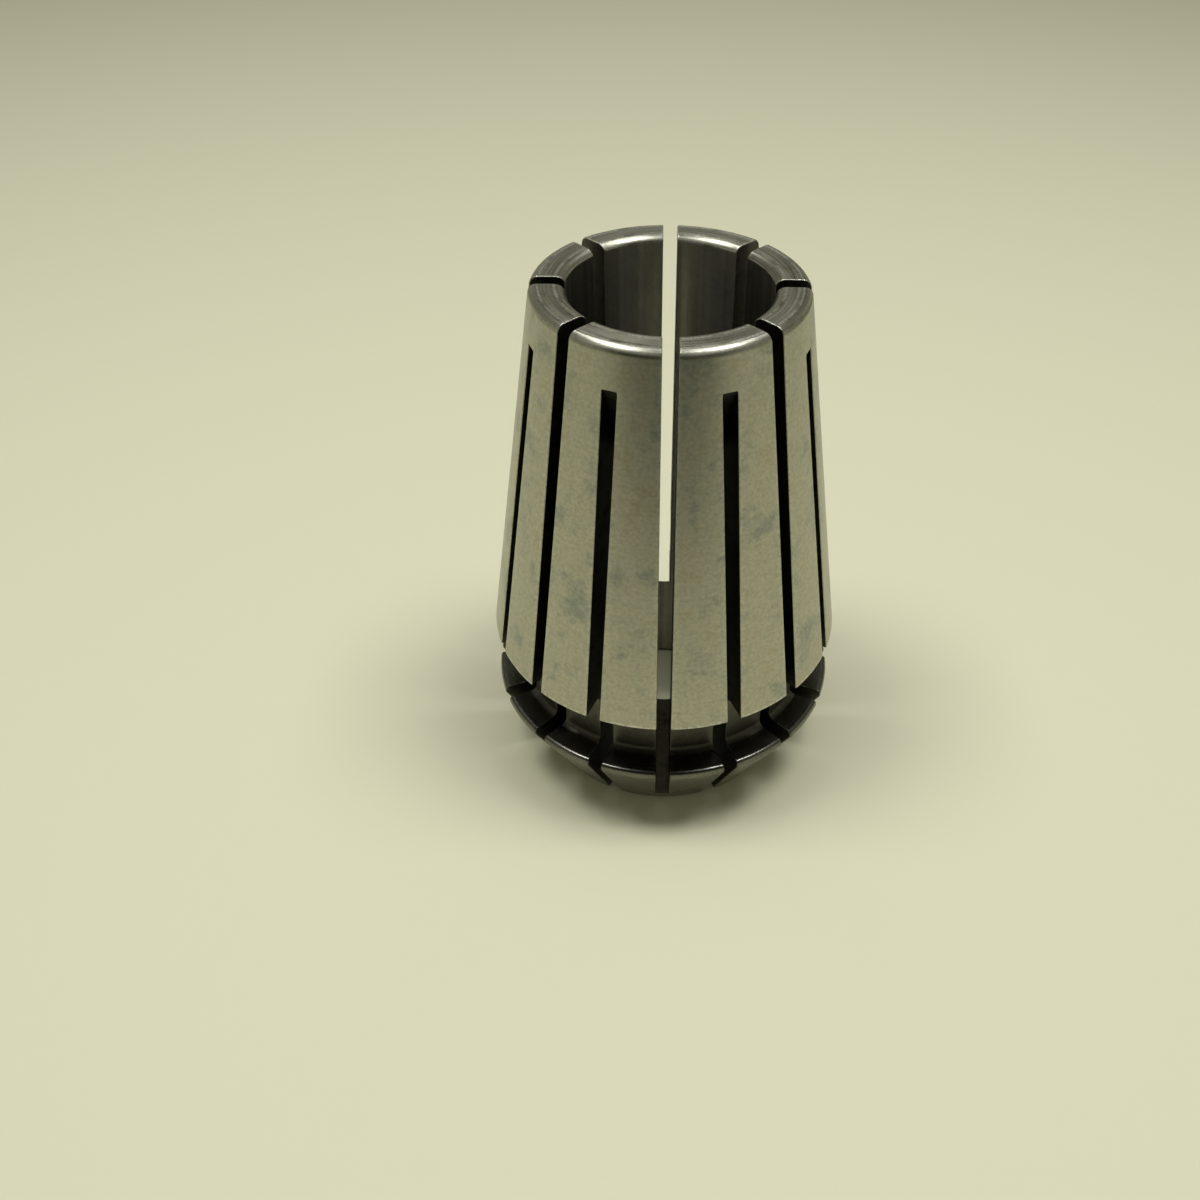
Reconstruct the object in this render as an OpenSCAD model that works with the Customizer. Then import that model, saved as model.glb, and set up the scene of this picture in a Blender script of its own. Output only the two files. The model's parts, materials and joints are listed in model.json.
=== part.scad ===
// Spring collet with an 8 degree seat cone, slit from both ends.
// It stands on its front face, the face that the clamping nut closes on.
// +Z is the collet's axis and runs from the front face, z = 0, to the rear face. Lengths are in mm.

/* [Seat cone] */
// Overall length, from the front face to the rear face
length = 31.5; // [29:0.5:36]
// Diameter of the seat cone at its wide end, beside the groove
seat_d = 21; // [20.8:0.1:23]
// Half angle of the seat cone, in degrees
seat_angle = 8; // [6:0.5:9]
// Radius on the outer edge of the rear face
rear_edge_r = 0.5; // [0.2:0.05:0.7]

/* [Nut end] */
// Diameter of the flange's land
flange_d = 20.9; // [19.8:0.1:21]
// Width of the flange's land, with the radius and the break on its edges
land_w = 0.45; // [0.45:0.05:1.2]
// Radius on the land's edge beside the groove
land_edge_r = 0.25; // [0.1:0.05:0.25]
// Height of the cone that the nut presses on
nut_cone_h = 4.95; // [4:0.05:6]
// Half angle of the nut cone, in degrees
nut_cone_angle = 30; // [25:1:32]
// Width of the groove that the nut's ring snaps into
groove_w = 3.7; // [2.6:0.1:4.2]
// Diameter of the groove's floor
groove_d = 17.4; // [16.4:0.1:18.4]
// Radius in the groove's two corners
groove_corner_r = 0.4; // [0.2:0.05:0.7]
// Break on the edges between the land and the nut cone, and between the groove and the seat cone
edge_break = 0.1; // [0.05:0.05:0.15]

/* [Bore] */
// Diameter of the bore that grips the tool's shank
bore_d = 11; // [8:0.5:12]
// Radius of the rounding at the rear mouth
mouth_r = 0.55; // [0.4:0.05:0.8]
// Angle through which the rounding turns, from the rear face down to the bore, in degrees
mouth_turn = 65; // [45:5:85]
// Width and depth of the countersink at the front mouth
front_sink = 0.2; // [0.1:0.05:0.6]

/* [Saw cuts] */
// Slots cut from each end, evenly spaced, the two sets half a step apart
slots_per_end = 8; // [4:1:8]
// Width of a slot
slot_w = 0.8; // [0.5:0.05:1]
// Diameter of the slitting saw, which leaves its arc at the end of each slot
saw_d = 63; // [50:1:80]
// Distance from the axis to the saw's rim at its deepest
saw_reach = 3.5; // [2.5:0.05:4]
// Height above the front face at which the rear slots run out through the nut cone
rear_slot_end = 1; // [0.5:0.1:2.5]
// Distance below the rear face at which the front slots run out through the seat cone
front_slot_end = 2.3; // [1.5:0.05:5]

/* [Hidden] */

// Heights of the shoulders, from the front face
groove_z = nut_cone_h + land_w;
seat_z = groove_z + groove_w;

// Outline radii
seat_r = seat_d / 2;
flange_r = flange_d / 2;
groove_r = groove_d / 2;
bore_r = bore_d / 2;

// Rear edge: the arc's centre lies one radius inside both the rear face and the seat cone
rear_edge_z = length - rear_edge_r;
rear_edge_centre = [seat_radius(rear_edge_z) - rear_edge_r / cos(seat_angle), rear_edge_z];

// Rear mouth: the arc leaves the rear face at this radius, and meets the bore this far below the rear face
mouth_x = bore_r + mouth_r * sin(mouth_turn);
mouth_depth = mouth_r * (1 - cos(mouth_turn));

// Saw: its centre stays on one line beside the axis, and runs out of one end of the collet
saw_r = saw_d / 2;
saw_x = saw_reach + saw_r;
rear_saw_z = rear_slot_end + saw_rise(nut_cone_radius(rear_slot_end));
front_saw_z = length - front_slot_end - saw_rise(seat_radius(length - front_slot_end));

slot_step = 360 / slots_per_end;

// How far a cut runs past the faces that it goes through
past = 1;

// Radius of the seat cone at a height
function seat_radius(z) = seat_r - (z - seat_z) * tan(seat_angle);

// Radius of the nut cone at a height
function nut_cone_radius(z) = flange_r - (nut_cone_h - z) * tan(nut_cone_angle);

// Distance along the axis from the saw's centre to its rim, at a radius from the collet's axis
function saw_rise(r) = sqrt(pow(saw_r, 2) - pow(saw_x - r, 2));

// Seat cone, rear face and rounded rear edge, out from the axis. Both shapes are drawn from the arc's
// centre, so that the cone runs into the arc without a step.
module seat_profile() {
    corners = [
        [0, groove_z],
        [groove_r, groove_z],
        [groove_r, seat_z],
        [seat_r - edge_break, seat_z],
        [seat_radius(seat_z + edge_break), seat_z + edge_break],
        rear_edge_centre + rear_edge_r * [cos(seat_angle), sin(seat_angle)],
        [rear_edge_centre.x, length],
        [0, length]
    ];
    translate(rear_edge_centre) {
        polygon([for (corner = corners) corner - rear_edge_centre]);
        circle(r = rear_edge_r, $fn = 96);
    }
}

// Nut cone and land, up to the groove
module flange_profile() {
    polygon([
        [0, 0],
        [nut_cone_radius(0), 0],
        [nut_cone_radius(nut_cone_h - edge_break), nut_cone_h - edge_break],
        [flange_r, nut_cone_h + edge_break],
        [flange_r, groove_z - land_edge_r],
        [flange_r - land_edge_r, groove_z],
        [0, groove_z]
    ]);
    translate([flange_r - land_edge_r, groove_z - land_edge_r])
        circle(r = land_edge_r, $fn = 96);
}

// Metal that the round-nosed grooving tool leaves in one corner of the groove, which opens along +X and +Y
module corner_fillet() {
    difference() {
        square(groove_corner_r);
        translate([groove_corner_r, groove_corner_r])
            circle(r = groove_corner_r, $fn = 96);
    }
}

// Bore with its countersunk front mouth and its rounded rear mouth, out from the axis
module bore_profile() {
    translate([0, -past])
        square([bore_r, length + 2 * past]);
    polygon([
        [0, -past],
        [bore_r + front_sink + past, -past],
        [bore_r, front_sink],
        [0, front_sink]
    ]);
    difference() {
        translate([0, length - mouth_depth])
            square([mouth_x, mouth_depth + past]);
        translate([mouth_x, length - mouth_r])
            circle(r = mouth_r, $fn = 96);
    }
}

// Ring turned and bored from bar, before it is slit
module turned_body() {
    rotate_extrude($fn = 180)
        difference() {
            union() {
                seat_profile();
                flange_profile();
                translate([groove_r, groove_z])
                    corner_fillet();
                translate([groove_r, seat_z])
                    mirror([0, 1])
                        corner_fillet();
            }
            bore_profile();
        }
}

// What the saw clears in one slot along +X: its own disc at the closed end, then a straight run
// from run_from to run_to, out through the other end
module saw_cut(centre_z, run_from, run_to) {
    rotate([90, 0, 0])
        translate([0, 0, -slot_w / 2])
            linear_extrude(slot_w) {
                translate([saw_x, centre_z])
                    circle(r = saw_r, $fn = 360);
                translate([saw_reach, run_from])
                    square([saw_r, run_to - run_from]);
            }
}

// Slots that open at the rear face, at the cardinal directions and between them
module rear_slots() {
    for (i = [0 : slots_per_end - 1])
        rotate([0, 0, i * slot_step])
            saw_cut(rear_saw_z, rear_saw_z, length + past);
}

// Slots that open at the front face, half a step round from the rear ones
module front_slots() {
    for (i = [0 : slots_per_end - 1])
        rotate([0, 0, (i + 0.5) * slot_step])
            saw_cut(front_saw_z, -past, front_saw_z);
}

module collet() {
    color("silver")
        difference() {
            turned_body();
            rear_slots();
            front_slots();
        }
}

collet();
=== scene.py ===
import json
import math

import bpy
from mathutils import Matrix, Vector


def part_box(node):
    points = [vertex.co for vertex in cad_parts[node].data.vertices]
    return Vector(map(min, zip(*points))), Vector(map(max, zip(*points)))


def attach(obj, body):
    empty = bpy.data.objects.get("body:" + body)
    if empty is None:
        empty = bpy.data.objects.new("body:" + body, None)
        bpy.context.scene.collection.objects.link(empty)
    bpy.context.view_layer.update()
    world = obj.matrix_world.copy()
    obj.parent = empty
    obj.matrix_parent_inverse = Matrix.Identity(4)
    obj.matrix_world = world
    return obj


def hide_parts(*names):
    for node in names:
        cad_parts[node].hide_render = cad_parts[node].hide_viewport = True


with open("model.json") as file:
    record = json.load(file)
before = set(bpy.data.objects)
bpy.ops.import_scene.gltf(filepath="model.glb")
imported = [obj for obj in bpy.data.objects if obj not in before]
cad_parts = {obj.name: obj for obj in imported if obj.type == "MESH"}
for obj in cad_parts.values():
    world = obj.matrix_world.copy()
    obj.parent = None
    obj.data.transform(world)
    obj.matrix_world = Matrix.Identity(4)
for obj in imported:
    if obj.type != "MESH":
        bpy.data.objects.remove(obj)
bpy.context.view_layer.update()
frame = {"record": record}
mm = 0.001  # one millimetre in metres


def toLinear(hexCode):
    values = [int(hexCode[i:i + 2], 16) / 255 for i in (1, 3, 5)]
    return [v / 12.92 if v <= 0.04045 else ((v + 0.055) / 1.055) ** 2.4 for v in values] + [1.0]


def addNode(tree, kind, settings={}, inputs={}):
    node = tree.nodes.new(kind)
    for name, value in settings.items():
        setattr(node, name, value)
    for name, value in inputs.items():
        if isinstance(value, bpy.types.NodeSocket):
            tree.links.new(value, node.inputs[name])
        else:
            node.inputs[name].default_value = value
    return node


def addObject(name, data):
    made = bpy.data.objects.new(name, data)
    bpy.context.scene.collection.objects.link(made)
    return made


# Camera: close to the collet, looking down on it
camera = {
    "place": (-0.57, -57.25, 59.95),  # mm, in the collet's frame
    "turn": 0.12,  # degrees to the right of straight ahead
    "tilt": 37.18,  # degrees below level
    "roll": 0.855,  # degrees
    "lens": 36.42,  # mm, on a 36 mm sensor
    "shift": (-0.0487, -0.0734),
}


def makeCamera(c):
    data = bpy.data.cameras.new("camera")
    data.sensor_width = 36
    data.lens = c["lens"]
    data.shift_x, data.shift_y = c["shift"]
    data.clip_start = 1 * mm
    data.clip_end = 20
    made = addObject("camera", data)
    made.matrix_world = (
        Matrix.Translation(Vector(c["place"]) * mm)
        @ Matrix.Rotation(math.radians(-c["turn"]), 4, "Z")
        @ Matrix.Rotation(math.radians(90 - c["tilt"]), 4, "X")
        @ Matrix.Rotation(math.radians(c["roll"]), 4, "Z")
    )
    bpy.context.scene.camera = made


makeCamera(camera)
print("camera placed")

# Collet: lengths in mm, angles in degrees, the same sizes as the solid that it stands for
mounts = {m["name"]: m for m in frame["record"]["mounts"]}
low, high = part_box("collet")

collet = {
    "length": (high.z - low.z) / mm,
    "seatDiameter": 21.0,
    "seatAngle": 8.0,
    "seatFoot": mounts["seat_cone"]["pos_m"][2] / mm,
    "grooveWidth": 3.7,
    "grooveDiameter": 17.4,
    "grooveCorner": 0.4,
    "flangeDiameter": 20.9,
    "flangeEdge": 0.25,  # radius on the flange's edge beside the groove
    "nutConeHeight": mounts["nut_cone"]["pos_m"][2] / mm,
    "nutConeAngle": 30.0,
    "boreRadius": mounts["bore"]["dims"]["r_mm"],
    "rearEdge": 0.5,
    "mouthRadius": 0.55,
    "mouthTurn": 65.0,
    "frontSink": 0.2,
    "edgeRound": 0.12,  # radius on the edges of the cones and the land
    "boreEdge": 0.04,  # radius on the edges of the bore
    "slots": 16,  # half of them open at the rear, half at the front
    "slotWidth": 0.8,
    "sawRadius": 31.5,
    "sawReach": 3.5,
    "rearSlotEnd": 1.0,
    "frontSlotEnd": 2.3,
    "slotBreak": 0.05,  # width of the broken edge along a slot
    "slotWear": 0.25,  # how bright that edge is rubbed, next to 1 for the other edges
    "rimBreak": 0.06,  # and where a slot crosses the rear rim
    "columns": 10,  # faces across the metal between two slots
    "floorSteps": 12,  # faces along the arc at a slot's closed end
    "arcStep": 6.0,  # degrees that one face turns on an arc of 1 mm radius
    "rowSpacing": 4.0,  # distance between rows of faces along a straight stretch
    "shortStretch": 0.3,  # a stretch shorter than this has no rows of its own
    "runOut": 0.15,  # distance from a slot's end at which the broken edge has its full width
    "wornRadius": 0.3,  # roundings smaller than this are rubbed bright
}


def radiusAt(c, surface, z):
    if surface == "seat":
        return c["seatDiameter"] / 2 - (z - c["seatFoot"]) * math.tan(math.radians(c["seatAngle"]))
    narrowing = math.tan(math.radians(c["nutConeAngle"]))
    return c["flangeDiameter"] / 2 - (c["nutConeHeight"] - z) * narrowing


# An arc of the outline is its centre, radius, first and last normal, and the surface that follows.
# This one rounds the corner at (r, z); a negative radius fills a hollow corner.
def cornerArc(r, z, radius, before, after, follows):
    a, b = math.radians(before), math.radians(after)
    share = radius / (1 + math.cos(b - a))
    centre = (r - share * (math.cos(a) + math.cos(b)), z - share * (math.sin(a) + math.sin(b)))
    return centre, radius, before, after, follows


def outlineArcs(c):
    length, edge, small, sink = c["length"], c["edgeRound"], c["boreEdge"], c["frontSink"]
    bore, groove, flange = c["boreRadius"], c["grooveDiameter"] / 2, c["flangeDiameter"] / 2
    grooveFoot = c["seatFoot"] - c["grooveWidth"]
    # the rounding of the rear mouth stops short of the bore's wall, and a small arc joins the two
    rounding, turn = c["mouthRadius"], math.radians(c["mouthTurn"])
    mouth = (bore + rounding * math.sin(turn), length - rounding)
    reach, across = rounding - small, mouth[0] - bore - small
    lip = (bore + small, mouth[1] + math.sqrt(reach ** 2 - across ** 2))
    join = math.degrees(math.atan2(lip[1] - mouth[1], lip[0] - mouth[0]))
    return [
        cornerArc(radiusAt(c, "nutCone", 0), 0, edge, -90, -c["nutConeAngle"], "nutCone"),
        cornerArc(flange, c["nutConeHeight"], edge, -c["nutConeAngle"], 0, "land"),
        cornerArc(flange, grooveFoot, c["flangeEdge"], 0, 90, "land"),
        cornerArc(groove, grooveFoot, -c["grooveCorner"], 90, 0, "groove"),
        cornerArc(groove, c["seatFoot"], -c["grooveCorner"], 0, -90, "groove"),
        cornerArc(c["seatDiameter"] / 2, c["seatFoot"], edge, -90, c["seatAngle"], "seat"),
        cornerArc(radiusAt(c, "seat", length), length, c["rearEdge"], c["seatAngle"], 90, "rim"),
        (mouth, rounding, 90, join, "rim"),
        (lip, small, join, 180, "bore"),
        cornerArc(bore, sink, small, 180, 225, "groove"),
        cornerArc(bore + sink, 0, small, 225, 270, "groove"),
    ]


# Height at which the saw left its arc, at a distance u from the axis, for the slots of each end
def slotFloor(c, end, u):
    across = c["sawRadius"] + c["sawReach"]
    rise = lambda v: math.sqrt(c["sawRadius"] ** 2 - (across - v) ** 2)
    if end == "rear":
        return c["rearSlotEnd"] + rise(radiusAt(c, "nutCone", c["rearSlotEnd"])) - rise(u)
    top = c["length"] - c["frontSlotEnd"]
    return top - rise(radiusAt(c, "seat", top)) + rise(u)


# Point of the straight stretch from a to b at which the saw's arc leaves the metal, at a distance t
# beside the slot's middle
def sawCrossing(c, end, a, b, t):
    def height(share):
        r, z = a[0] + (b[0] - a[0]) * share, a[1] + (b[1] - a[1]) * share
        return z - slotFloor(c, end, math.sqrt(r * r - t * t))
    near, far = 0.0, 1.0
    if height(near) * height(far) > 0:
        return None
    for step in range(50):
        middle = (near + far) / 2
        if height(near) * height(middle) <= 0:
            far = middle
        else:
            near = middle
    return a[0] + (b[0] - a[0]) * near, a[1] + (b[1] - a[1]) * near


# Outline of the turned blank from the front face's inner edge round to it again, as rows of points:
# radius, height, normal's angle, surface above the row, and the slots that end there, if any
def outlineRows(c):
    rows = []
    arcs = outlineArcs(c)
    half = c["slotWidth"] / 2

    def addRow(point, angle, surface, isEdge, end=None, stretch=None):
        row = {"point": point, "angle": angle, "surface": surface}
        rows.append({**row, "isEdge": isEdge, "end": end, "stretch": stretch})

    for i, (centre, radius, before, after, follows) in enumerate(arcs):
        steps = max(3, math.ceil(abs(after - before) * math.sqrt(abs(radius)) / c["arcStep"]))
        for k in range(steps + 1):
            angle = math.radians(before + (after - before) * k / steps)
            point = (centre[0] + radius * math.cos(angle), centre[1] + radius * math.sin(angle))
            if rows and math.dist(point, rows[-1]["point"]) < 1e-6:
                rows.pop()
            isEdge = 0 < radius and (radius < c["wornRadius"] or angle == math.pi / 2)
            addRow(point, angle, follows, isEdge)
        centre2, radius2, before2 = arcs[(i + 1) % len(arcs)][:3]
        turn = math.radians(before2)
        a, b = point, (centre2[0] + radius2 * math.cos(turn), centre2[1] + radius2 * math.sin(turn))
        long = math.dist(a, b)
        if long < c["shortStretch"]:
            continue
        ringsAndPaintedStreaks = {c["runOut"]: None, long - c["runOut"]: None}
        for end in ("rear", "front"):
            found = sawCrossing(c, end, a, b, half)
            if found:
                at = math.dist(a, found)
                ringsAndPaintedStreaks.update({at - c["runOut"]: None, at: end, at + c["runOut"]: None})
        parts = int(long / c["rowSpacing"])
        for k in range(1, parts):
            ringsAndPaintedStreaks.setdefault(long * k / parts, None)
        for at in sorted(ringsAndPaintedStreaks):
            point = (a[0] + (b[0] - a[0]) * at / long, a[1] + (b[1] - a[1]) * at / long)
            addRow(point, angle, follows, False, ringsAndPaintedStreaks[at], (a, b))
    return rows


def makeColletMesh(c, surfaces):
    rows = outlineRows(c)
    count = c["slots"]
    half = c["slotWidth"] / 2
    tees = [half * k for k in (-1, -0.5, 0, 0.5, 1)]
    places, points, faces, normals, kinds = {}, [], [], [], []
    worn = {}

    def addFace(corners, surface):
        ids = []
        for point, normal in corners:
            if point not in places:
                places[point] = len(points)
                points.append(point)
            if places[point] not in [i for i, n in ids]:
                ids.append((places[point], normal))
        if len(ids) > 2:
            faces.append([i for i, n in ids])
            normals.extend(n for i, n in ids)
            kinds.append(surfaces.index(surface))

    def inSlot(slot, u, t, z):
        turn = 2 * math.pi * (slot % count) / count
        return (u * math.cos(turn) - t * math.sin(turn), u * math.sin(turn) + t * math.cos(turn), z)

    def rowAt(row, t):
        if row["end"] and abs(t) < half:
            return sawCrossing(c, row["end"], *row["stretch"], t)
        return row["point"]

    # Corner of the turned skin, t beside the middle of a slot
    def skin(slot, row, t):
        r, z = rowAt(row, t)
        u = math.sqrt(r * r - t * t)
        out, up = math.cos(row["angle"]), math.sin(row["angle"])
        return inSlot(slot, u, t, z), (*inSlot(slot, u / r * out, t / r * out, 0)[:2], up)

    # Corner of a slot's wall on the outline, inside the skin by the width of the broken edge
    def wall(slot, row, side, inset):
        r, z = row["point"]
        r, z = r - inset * math.cos(row["angle"]), z - inset * math.sin(row["angle"])
        u = math.sqrt(r * r - half * half)
        return inSlot(slot, u, side * half, z), inSlot(slot, 0, -side, 0)

    def insetAt(row):
        nearRim = row["surface"] in ("seat", "rim", "bore")
        lift = max(0, math.sin(row["angle"])) ** 2 if nearRim else 0
        return c["slotBreak"] + (c["rimBreak"] - c["slotBreak"]) * lift

    # rows at which the slots of each end run out, on the outside and in the bore
    outside, inside = {}, {}
    for end in ("rear", "front"):
        outside[end], inside[end] = [k for k, row in enumerate(rows) if row["end"] == end]
    size = len(rows)
    opened = {
        "rear": list(range(outside["rear"], inside["rear"] + 1)),
        "front": list(range(inside["front"], size)) + list(range(0, outside["front"] + 1)),
    }
    closed = {
        "rear": list(range(inside["rear"], size)) + list(range(0, outside["rear"] + 1)),
        "front": list(range(outside["front"], inside["front"] + 1)),
    }
    inset = {end: [0] * size for end in opened}
    for end in opened:
        for k in opened[end][1:-1]:
            inset[end][k] = insetAt(rows[k])

    for slot in range(count):
        end, other = ("rear", "front") if slot % 2 == 0 else ("front", "rear")

        # skin from this slot to the next one
        grid = []
        for k, row in enumerate(rows):
            first = skin(slot, row, half + inset[end][k])
            last = skin(slot + 1, row, -half - inset[other][k])
            start = math.atan2(first[0][1], first[0][0])
            sweep = (math.atan2(last[0][1], last[0][0]) - start) % (2 * math.pi)
            r, z = row["point"]
            line = [first]
            out, up = math.cos(row["angle"]), math.sin(row["angle"])
            for column in range(1, c["columns"]):
                turn = start + sweep * column / c["columns"]
                point = (r * math.cos(turn), r * math.sin(turn), z)
                line.append((point, (out * math.cos(turn), out * math.sin(turn), up)))
            grid.append(line + [last])
        for k, row in enumerate(rows):
            for column in range(c["columns"]):
                a, b = grid[k], grid[(k + 1) % size]
                addFace([a[column], a[column + 1], b[column + 1], b[column]], row["surface"])
            if row["isEdge"]:
                worn.update((point, 1.0) for point, normal in grid[k])

        # broken edges and walls
        for side in (1, -1):
            edge = []
            for k in opened[end]:
                across = side * (half + inset[end][k])
                edge.append((wall(slot, rows[k], side, inset[end][k]), skin(slot, rows[k], across)))
            for (wallA, skinA), (wallB, skinB), k in zip(edge, edge[1:], opened[end]):
                corners = [wallA, skinA, skinB, wallB]
                addFace(corners if side == 1 else corners[::-1], rows[k]["surface"])
                worn.update((point, c["slotWear"]) for point, normal in corners)

        # arc at the closed end
        chains = []
        for t in tees:
            (rOut, zOut), (rIn, zIn) = rowAt(rows[outside[end]], t), rowAt(rows[inside[end]], t)
            uOut, uIn = math.sqrt(rOut * rOut - t * t), math.sqrt(rIn * rIn - t * t)
            chain = []
            for k in range(c["floorSteps"] + 1):
                u = uOut + (uIn - uOut) * k / c["floorSteps"]
                z = slotFloor(c, end, u)
                if k == 0:
                    u, z = uOut, zOut
                if k == c["floorSteps"]:
                    u, z = uIn, zIn
                lean = (c["sawRadius"] + c["sawReach"] - u) / c["sawRadius"]
                rise = math.sqrt(1 - lean * lean) * (1 if end == "rear" else -1)
                chain.append((inSlot(slot, u, t, z), inSlot(slot, lean, 0, rise)))
            chains.append(chain)
        for left, right in zip(chains, chains[1:]):
            for k in range(c["floorSteps"]):
                corners = [left[k], right[k], right[k + 1], left[k + 1]]
                addFace(corners if end == "rear" else corners[::-1], "slot")
        for side, chain in ((1, chains[-1]), (-1, chains[0])):
            facing = inSlot(slot, 0, -side, 0)
            loop = [wall(slot, rows[k], side, inset[end][k]) for k in opened[end]]
            arc = [(point, facing) for point, normal in chain[1:-1]]
            loop += arc[::-1] if end == "rear" else arc
            addFace(loop if side == 1 else loop[::-1], "slot")

        # skin that bridges the slot beyond its closed end
        for k, after in zip(closed[end], closed[end][1:]):
            for left, right in zip(tees, tees[1:]):
                lower = [skin(slot, rows[k], t) for t in (left, right)]
                upper = [skin(slot, rows[after], t) for t in (right, left)]
                addFace(lower + upper, rows[k]["surface"])

    mesh = bpy.data.meshes.new("collet_body")
    mesh.from_pydata([Vector(p) * mm for p in points], [], faces)
    mesh.polygons.foreach_set("material_index", kinds)
    mesh.polygons.foreach_set("use_smooth", [True] * len(faces))
    mesh.normals_split_custom_set(normals)
    wear = mesh.attributes.new("edge", "FLOAT", "POINT")
    wear.data.foreach_set("value", [worn.get(point, 0.0) for point in points])
    return mesh


surfaces = ["seat", "nutCone", "land", "groove", "rim", "bore", "slot"]
body = addObject("collet_body", makeColletMesh(collet, surfaces))
print("collet built:", len(body.data.polygons), "faces")


# Finishes: sizes of the patterns and heights of the bumps in mm
groundSteel = {
    "name": "hardened spring steel, ground",  # satin, with reflections drawn out across the marks
    "colour": "#B0AE9E",
    "film": "#ACA592",  # thin brownish film in some places
    "stain": "#969A92",  # dull stains from handling in others
    "blotch": 2.2,  # size of such a place
    "bright": "#E2E1DA",  # metal rubbed along the edges
    "wear": 0.6,  # how much of it shows there
    "grain": 0.1,  # how far the colour changes with the grit
    "lines": 0.04,  # and from mark to mark; in the bore, from one painted reflection streak to the next
    "roughness": 0.36,
    "uneven": 0.06,  # how far the roughness changes
    "anisotropy": 0.55,
    "ring": 0.16,  # real marks are 0.02 to 0.05 apart, too fine to show
    "ringHeight": 0.0004,
    "around": 2.0,  # how often a mark changes on its way round
    "reflectionStreaks": 0,  # for painted reflections drawn as streaks along the axis instead, how closely they lie; 0 for none
    "grit": 0.2,
    "gritHeight": 0.0006,
}
turnedSteel = {
    "name": "hardened spring steel, fine turned",  # greyer, with the rings that the tool left
    "colour": "#74736A",
    "film": "#66645C",
    "stain": "#504E48",
    "blotch": 1.2,
    "bright": "#A9A89F",
    "wear": 0.7,
    "grain": 0.1,
    "lines": 0.05,
    "roughness": 0.26,
    "uneven": 0.03,
    "anisotropy": 0.4,
    "ring": 0.14,
    "ringHeight": 0.0004,
    "around": 1.5,
    "reflectionStreaks": 0,
    "grit": 0.1,
    "gritHeight": 0.0002,
}
rimSteel = {
    "name": "hardened spring steel, turned and brushed",  # rings and small bright specks
    "colour": "#A3A293",
    "film": "#9E9B8C",
    "stain": "#8F8E84",
    "blotch": 0.8,
    "bright": "#EDECE4",
    "wear": 0.9,
    "grain": 0.15,
    "lines": 0.3,
    "roughness": 0.33,
    "uneven": 0.1,
    "anisotropy": 0.4,
    "ring": 0.15,
    "ringHeight": 0.008,
    "around": 1.2,
    "reflectionStreaks": 0,
    "grit": 0.08,
    "gritHeight": 0.0006,
}
boreSteel = {
    "name": "hardened spring steel, ground bore",  # dark and smooth, with painted reflections as streaks along the bore
    "colour": "#A9A79B",
    "film": "#A09E92",
    "stain": "#9B998E",
    "blotch": 2.5,
    "bright": "#DAD8D0",
    "wear": 0.5,
    "grain": 0.08,
    "lines": 0.3,
    "roughness": 0.3,
    "uneven": 0.01,
    "anisotropy": 0.85,
    "ring": 0.12,
    "ringHeight": 0.0001,
    "around": 2.0,
    "reflectionStreaks": 9.0,
    "grit": 0.1,
    "gritHeight": 0.0001,
}
sawnSteel = {
    "name": "hardened spring steel, sawn",  # under the dark film that hardening leaves
    "colour": "#45433D",
    "film": "#3A3833",
    "stain": "#302E2B",
    "blotch": 1.5,
    "bright": "#8C8A82",
    "wear": 0.4,
    "grain": 0.1,
    "lines": 0.1,
    "roughness": 0.4,
    "uneven": 0.1,
    "anisotropy": 0.0,
    "ring": 0.18,
    "ringHeight": 0.0015,
    "around": 0.5,
    "reflectionStreaks": 0,
    "grit": 0.1,
    "gritHeight": 0.001,
}


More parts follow.
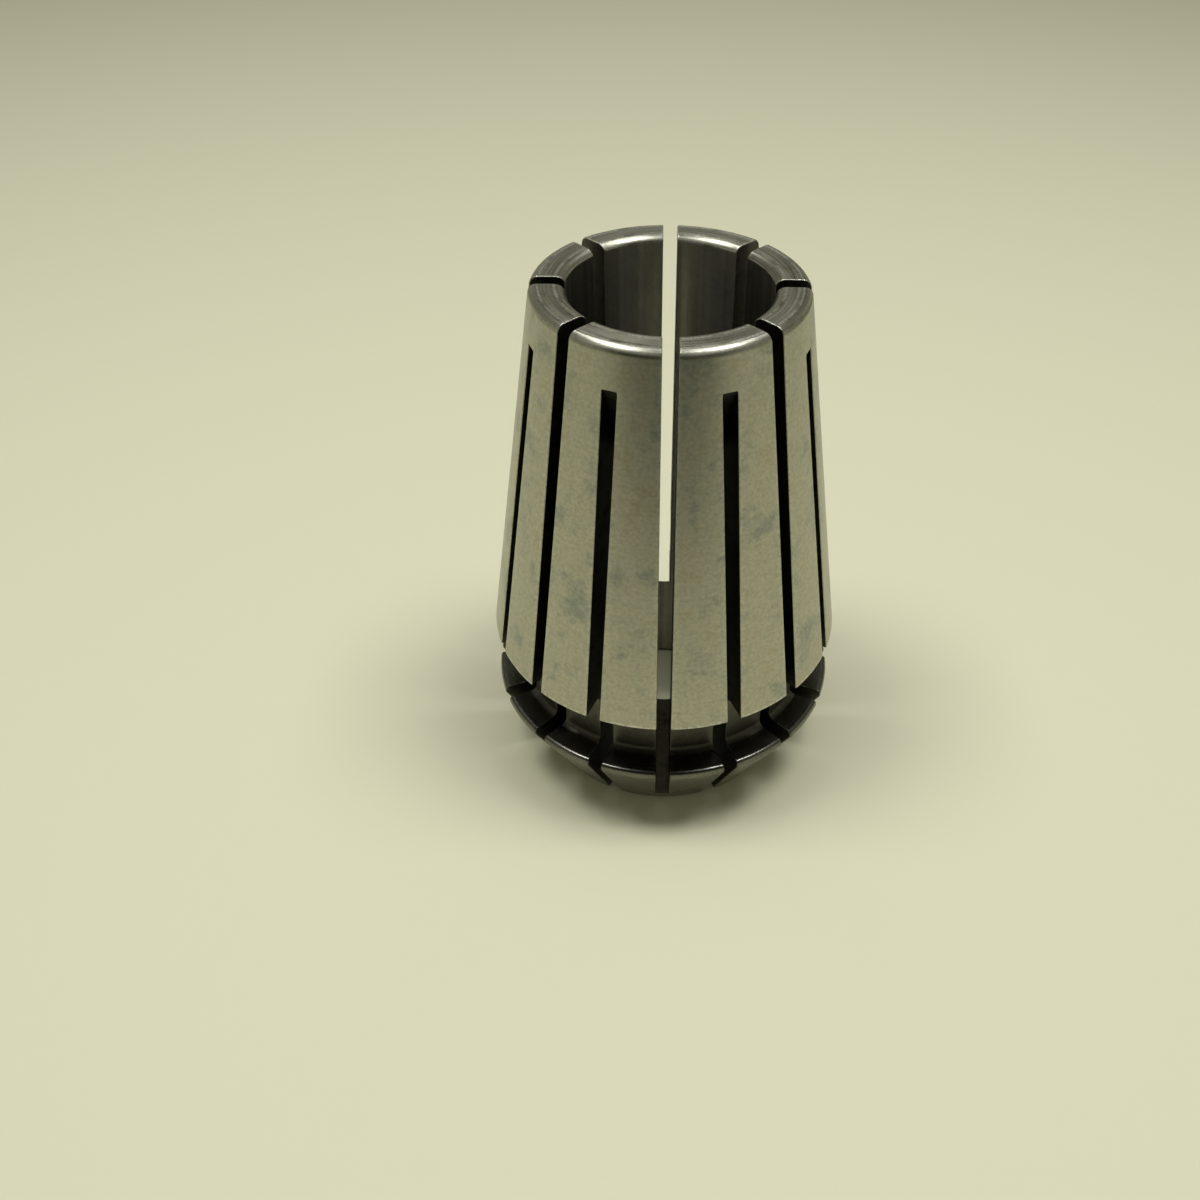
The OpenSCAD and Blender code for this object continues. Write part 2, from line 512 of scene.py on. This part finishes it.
def makeSteel(finish):
    made = bpy.data.materials.new(finish["name"])
    made.use_nodes = True
    tree = made.node_tree
    shader = tree.nodes["Principled BSDF"]
    place = addNode(tree, "ShaderNodeTexCoord").outputs["Object"]
    inMm = addNode(
        tree, "ShaderNodeVectorMath", {"operation": "SCALE"}, {0: place, "Scale": 1 / mm}
    ).outputs[0]
    height = addNode(tree, "ShaderNodeSeparateXYZ", {}, {0: inMm}).outputs["Z"]
    level = addNode(
        tree, "ShaderNodeVectorMath", {"operation": "MULTIPLY"}, {0: inMm, 1: (1, 1, 0)}
    ).outputs[0]
    radius = addNode(
        tree, "ShaderNodeVectorMath", {"operation": "LENGTH"}, {0: level}
    ).outputs["Value"]
    facing = addNode(
        tree, "ShaderNodeVectorMath", {"operation": "NORMALIZE"}, {0: level}
    ).outputs[0]

    # rings round the axis, fine across and slow on their way round
    turn = addNode(
        tree, "ShaderNodeVectorMath", {"operation": "SCALE"}, {0: facing, "Scale": finish["around"]}
    ).outputs[0]
    across = addNode(
        tree, "ShaderNodeMath", {"operation": "DIVIDE"}, {0: radius, 1: finish["ring"]}
    ).outputs[0]
    along = addNode(
        tree, "ShaderNodeMath", {"operation": "DIVIDE"}, {0: height, 1: finish["ring"]}
    ).outputs[0]
    lift = addNode(tree, "ShaderNodeCombineXYZ", {}, {"Z": across}).outputs[0]
    ringPlace = addNode(
        tree, "ShaderNodeVectorMath", {"operation": "ADD"}, {0: turn, 1: lift}
    ).outputs[0]
    rings = addNode(
        tree,
        "ShaderNodeTexNoise",
        {"noise_dimensions": "4D"},
        {"Vector": ringPlace, "W": along, "Scale": 1.0, "Detail": 1.0},
    ).outputs[0]
    grit = addNode(
        tree, "ShaderNodeTexNoise", {}, {"Vector": inMm, "Scale": 1 / finish["grit"], "Detail": 1.0}
    ).outputs[0]
    blotches = addNode(
        tree,
        "ShaderNodeTexNoise",
        {},
        {"Vector": inMm, "Scale": 1 / finish["blotch"], "Detail": 5.0, "Roughness": 0.72},
    ).outputs[0]

    # colour: a film in some places and stains in others, with a fine grain and with marks: the
    # tool's rings, or painted reflections as streaks along the axis
    ramp = addNode(tree, "ShaderNodeValToRGB", {}, {0: blotches})
    patches = [(0.34, "film"), (0.45, "colour"), (0.53, "colour"), (0.66, "stain")]
    steps = ramp.color_ramp.elements
    while len(steps) < len(patches):
        steps.new(0.5)
    for step, (at, name) in zip(steps, patches):
        step.position = at
        step.color = toLinear(finish[name])
    grain = addNode(
        tree,
        "ShaderNodeMapRange",
        {},
        {
            "Value": grit,
            "From Min": 0.3,
            "From Max": 0.7,
            "To Min": 1 - finish["grain"],
            "To Max": 1 + finish["grain"],
        },
    ).outputs[0]
    ringsAndPaintedStreaks = rings
    # painted reflections: lighter and darker streaks along the axis, standing in for the bore's
    # drawn-out reflections
    if finish["reflectionStreaks"]:
        ringsAndPaintedStreaks = addNode(
            tree,
            "ShaderNodeTexNoise",
            {},
            {"Vector": facing, "Scale": finish["reflectionStreaks"], "Detail": 2.0},
        ).outputs[0]
    lines = addNode(
        tree,
        "ShaderNodeMapRange",
        {},
        {
            "Value": ringsAndPaintedStreaks,
            "From Min": 0.3,
            "From Max": 0.7,
            "To Min": 1 - finish["lines"],
            "To Max": 1 + finish["lines"],
        },
    ).outputs[0]
    both = addNode(
        tree, "ShaderNodeMath", {"operation": "MULTIPLY"}, {0: grain, 1: lines}
    ).outputs[0]
    stained = addNode(
        tree, "ShaderNodeVectorMath", {"operation": "SCALE"}, {0: ramp.outputs[0], "Scale": both}
    ).outputs[0]

    # metal rubbed bright along the edges
    edge = addNode(tree, "ShaderNodeAttribute", {"attribute_name": "edge"}).outputs["Fac"]
    rubbed = addNode(
        tree,
        "ShaderNodeMapRange",
        {},
        {"Value": grit, "From Min": 0.3, "From Max": 0.6, "To Max": finish["wear"]},
    ).outputs[0]
    wear = addNode(
        tree, "ShaderNodeMath", {"operation": "MULTIPLY"}, {0: edge, 1: rubbed}
    ).outputs[0]
    colour = addNode(
        tree,
        "ShaderNodeMix",
        {"data_type": "RGBA"},
        {0: wear, 6: stained, 7: toLinear(finish["bright"])},
    ).outputs[2]
    tree.links.new(colour, shader.inputs["Base Color"])

    # roughness follows the rings and the patches
    mixed = addNode(
        tree, "ShaderNodeMath", {"operation": "ADD"}, {0: rings, 1: blotches}
    ).outputs[0]
    roughness = addNode(
        tree,
        "ShaderNodeMapRange",
        {},
        {
            "Value": mixed,
            "From Min": 0.6,
            "From Max": 1.4,
            "To Min": finish["roughness"] - finish["uneven"],
            "To Max": finish["roughness"] + finish["uneven"],
        },
    ).outputs[0]
    tree.links.new(roughness, shader.inputs["Roughness"])

    ringBump = addNode(
        tree, "ShaderNodeBump", {}, {"Height": rings, "Distance": finish["ringHeight"] * mm}
    ).outputs[0]
    bump = addNode(
        tree,
        "ShaderNodeBump",
        {},
        {"Height": grit, "Distance": finish["gritHeight"] * mm, "Normal": ringBump},
    ).outputs[0]
    tree.links.new(bump, shader.inputs["Normal"])

    shader.inputs["Metallic"].default_value = 1
    shader.inputs["Anisotropic"].default_value = finish["anisotropy"]
    shader.inputs["Anisotropic Rotation"].default_value = 0.25  # blurs across the rings
    tangent = addNode(
        tree, "ShaderNodeTangent", {"direction_type": "RADIAL", "axis": "Z"}
    ).outputs[0]
    tree.links.new(tangent, shader.inputs["Tangent"])
    return made


nutConeSteel = {
    **turnedSteel,
    "name": "hardened spring steel, turned nut cone with painted light",
    # lighter than the turned steel it copies: painted light on the nut cone
    "colour": "#8F8E85",
    "stain": "#86857C",
    "film": "#918F84",
    "lines": 0.12,
}
grooveSteel = {
    **turnedSteel,
    "name": "hardened spring steel, groove with painted shade",  # its darker colour is painted shade of the groove
    # darker than the turned steel it copies: painted shade, also on the front sink and face
    "colour": "#5A5850",
    "roughness": 0.42,
    "wear": 0.2,
}
landSteel = {
    **turnedSteel,
    "name": "hardened spring steel, land with painted shade",  # its darker colour is painted shade on the land and the flange's face, with little wear
    # darker than the turned steel it copies: painted shade
    "colour": "#605F57",
    "stain": "#57564F",
    "wear": 0.15,
}
finishes = {
    "seat": makeSteel(groundSteel),
    "nutCone": makeSteel(nutConeSteel),
    "land": makeSteel(landSteel),
    "groove": makeSteel(grooveSteel),
    "rim": makeSteel(rimSteel),
    "bore": makeSteel(boreSteel),
    "slot": makeSteel(sawnSteel),
}
for surface in surfaces:
    body.data.materials.append(finishes[surface])

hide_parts("collet")
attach(body, "root")
print("finishes made:", len(bpy.data.materials))

# Studio: lengths in mm
studio = {
    "floor": "#D6D5B8",
    "floorRoughness": 0.8,
    "floorSize": 4000,
    "softboxes": [  # place, size, watts; diffuse ones light the board, glossy ones the metal
        ((-88, -8, 262), (75, 76), 0.258, "diffuse"),
        ((80, -8, 262), (80, 76), 0.293, "diffuse"),
        ((-92, 5, 262), (58, 48), 0.225, "glossy"),
        ((85, 5, 262), (68, 48), 0.24, "glossy"),
        ((0, -2, 280), (140, 140), 0.135, "diffuse"),
        ((-76, 110, 262), (60, 90), 0.12, "glossy"),
        ((70, 110, 262), (70, 90), 0.10, "glossy"),
    ],
    "sky": [  # from 0.5 at the horizon to 1 overhead
        (0.5, "#BDBBA5"),
        (0.56, "#A09E8C"),
        (0.7, "#76756A"),
        (0.8, "#8E8D7F"),
        (0.86, "#84837A"),
        (1.0, "#65645C"),
    ],
    "skyStrength": 0.93,
    "card": "#1A1A1A",
    "cards": [  # dark cards that only reflections show: middle, size, tilt; the tilted one is the camera's dark body, the flat one a painted shadow
        ((0, -75, 68), (180, 90), 50),
        # painted shadow: a black sheet lying on the board in front, where the camera shades it
        ((0, -107, 3), (120, 110), 0),
    ],
}


def makePlain(name, colour, roughness):
    made = bpy.data.materials.new(name)
    made.use_nodes = True
    shader = made.node_tree.nodes["Principled BSDF"]
    shader.inputs["Base Color"].default_value = toLinear(colour)
    shader.inputs["Roughness"].default_value = roughness
    return made


def makeStudio(s):
    half = s["floorSize"] / 2 * mm
    mesh = bpy.data.meshes.new("floor")
    corners = [(-half, -half, 0), (half, -half, 0), (half, half, 0), (-half, half, 0)]
    mesh.from_pydata(corners, [], [(0, 1, 2, 3)])
    floor = addObject("floor", mesh)
    mesh.materials.append(makePlain("matt paper board", s["floor"], s["floorRoughness"]))

    feltAndShadow = makePlain("black felt and painted shadow", s["card"], 1.0)
    for k, (middle, (wide, deep), tilt) in enumerate(s["cards"]):
        mesh = bpy.data.meshes.new("card_%d" % k)
        a, b = wide / 2 * mm, deep / 2 * mm
        mesh.from_pydata([(-a, -b, 0), (a, -b, 0), (a, b, 0), (-a, b, 0)], [], [(0, 1, 2, 3)])
        card = addObject("card_%d" % k, mesh)
        card.location = Vector(middle) * mm
        card.rotation_euler.x = math.radians(tilt)
        card.visible_camera = False
        card.visible_diffuse = False
        card.visible_shadow = False
        mesh.materials.append(feltAndShadow)

    for k, (place, (wide, deep), power, lights) in enumerate(s["softboxes"]):
        lamp = bpy.data.lights.new("softbox_%d" % k, "AREA")
        lamp.shape = "RECTANGLE"
        lamp.size, lamp.size_y = wide * mm, deep * mm
        lamp.energy = power
        box = addObject("softbox_%d" % k, lamp)
        box.location = Vector(place) * mm
        box.rotation_euler.y = math.atan2(place[0], place[2])
        box.visible_glossy = lights == "glossy"
        box.visible_diffuse = lights == "diffuse"

    world = bpy.data.worlds.new("world")
    bpy.context.scene.world = world
    world.use_nodes = True
    tree = world.node_tree
    direction = addNode(tree, "ShaderNodeTexCoord").outputs["Generated"]
    up = addNode(tree, "ShaderNodeSeparateXYZ", {}, {0: direction}).outputs["Z"]
    share = addNode(
        tree, "ShaderNodeMath", {"operation": "MULTIPLY_ADD"}, {0: up, 1: 0.5, 2: 0.5}
    ).outputs[0]
    ramp = addNode(tree, "ShaderNodeValToRGB", {}, {0: share})
    steps = ramp.color_ramp.elements
    while len(steps) < len(s["sky"]):
        steps.new(0.5)
    for step, (at, colour) in zip(steps, s["sky"]):
        step.position = at
        step.color = toLinear(colour)
    background = tree.nodes["Background"]
    tree.links.new(ramp.outputs[0], background.inputs["Color"])
    background.inputs["Strength"].default_value = s["skyStrength"]
    bpy.context.scene.view_settings.view_transform = "Standard"


makeStudio(studio)
print("studio lit")
